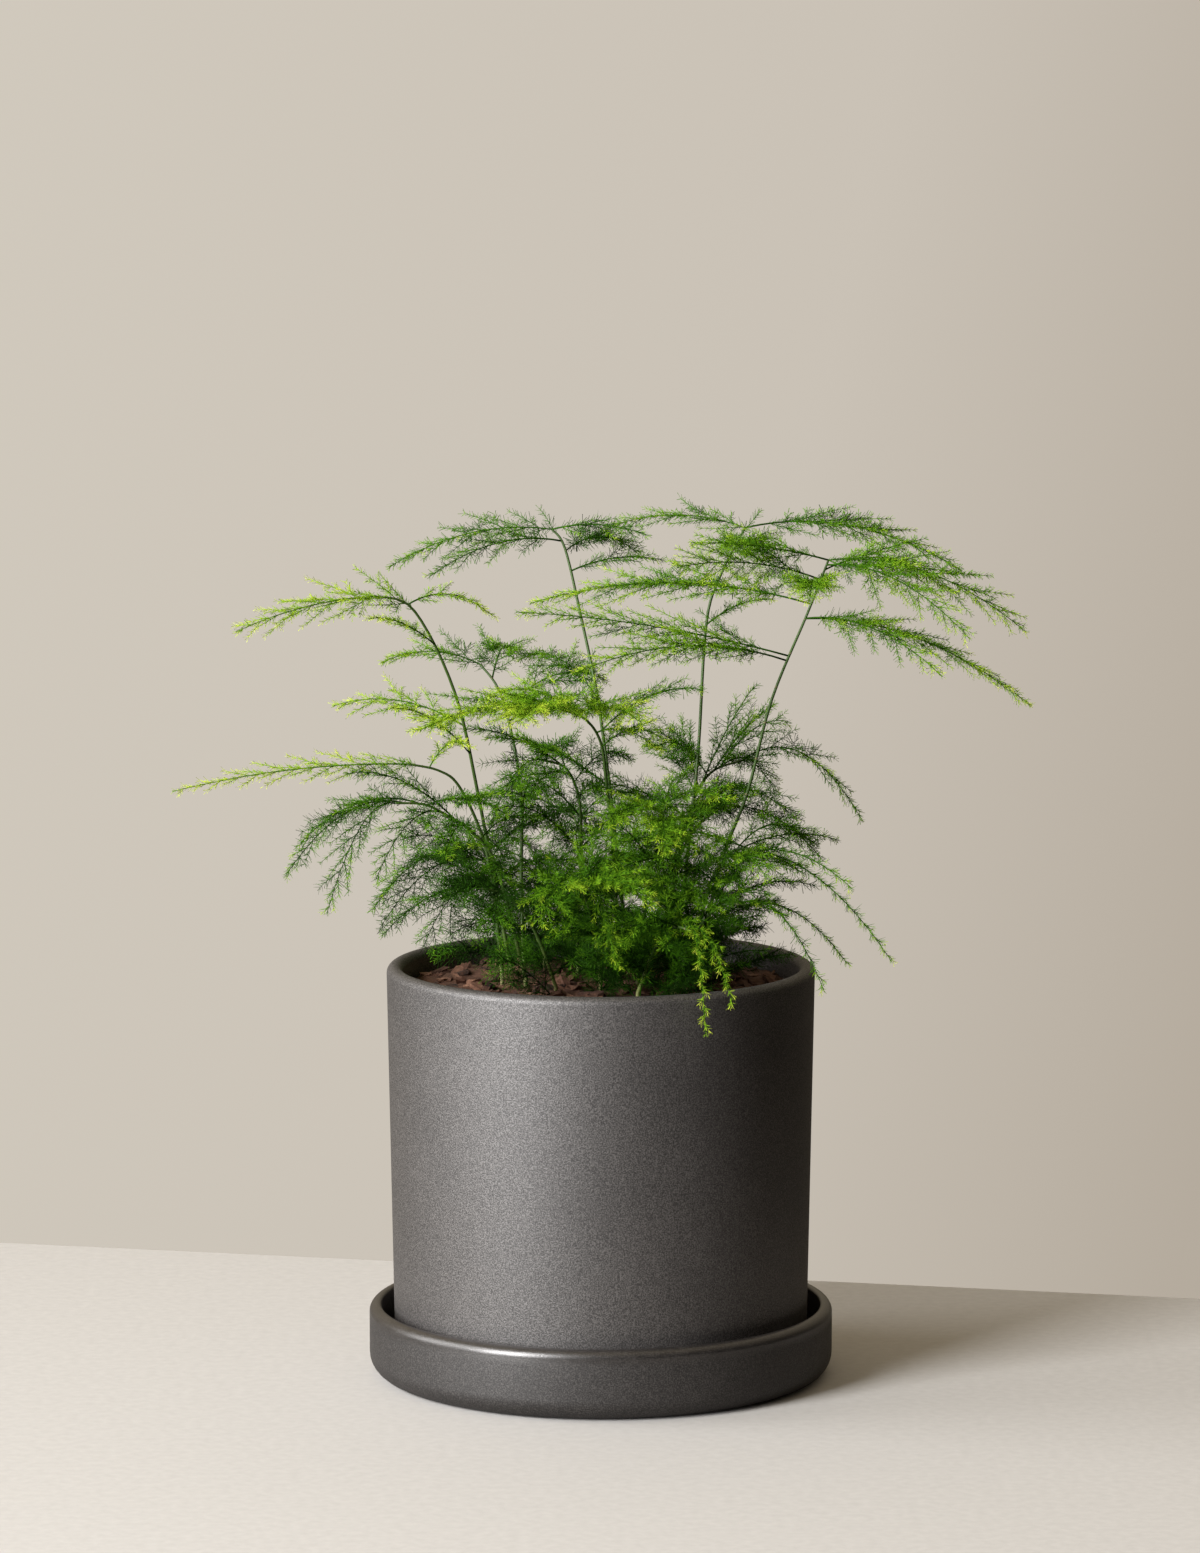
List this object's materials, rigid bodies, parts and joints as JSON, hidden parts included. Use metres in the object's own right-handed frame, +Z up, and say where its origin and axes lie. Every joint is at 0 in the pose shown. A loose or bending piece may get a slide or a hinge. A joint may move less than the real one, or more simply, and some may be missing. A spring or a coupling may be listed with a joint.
{
  "type": "potted asparagus fern",
  "caption": "Feathery asparagus fern with arching wiry fronds in a charcoal glazed cylinder pot on its matching saucer.",
  "frame": {"origin": "centre of the saucer's flat underside", "axes": "+Z up along the pot's axis, -Y towards the viewer of the front, +X to that viewer's right"},
  "size_m": [0.325, 0.2508, 0.3366],
  "materials": {
    "charcoal_glaze": "charcoal semi-matt glaze with a fine sandy fleck",
    "potting_soil": "loose reddish-brown bark and coir mix",
    "fern_green": "living green stems and needles, yellow-green at the young tips"
  },
  "bodies": {
    "root": {"saucer": "charcoal_glaze", "pot": "charcoal_glaze", "soil": "potting_soil", "frond_tall_left": "fern_green", "frond_tall_middle": "fern_green", "frond_tall_inner_right": "fern_green", "frond_tall_right": "fern_green", "frond_middle_left": "fern_green", "frond_middle_front": "fern_green", "frond_long_left": "fern_green", "frond_drooping_left": "fern_green", "frond_back_left": "fern_green", "frond_arching_right": "fern_green", "frond_low_right": "fern_green", "frond_rim_right": "fern_green", "frond_front_hanging": "fern_green", "frond_front_middle": "fern_green", "frond_front_left": "fern_green", "frond_inner_left": "fern_green", "frond_inner_right": "fern_green", "frond_back_right": "fern_green", "frond_back_middle": "fern_green"}
  },
  "joints": []
}
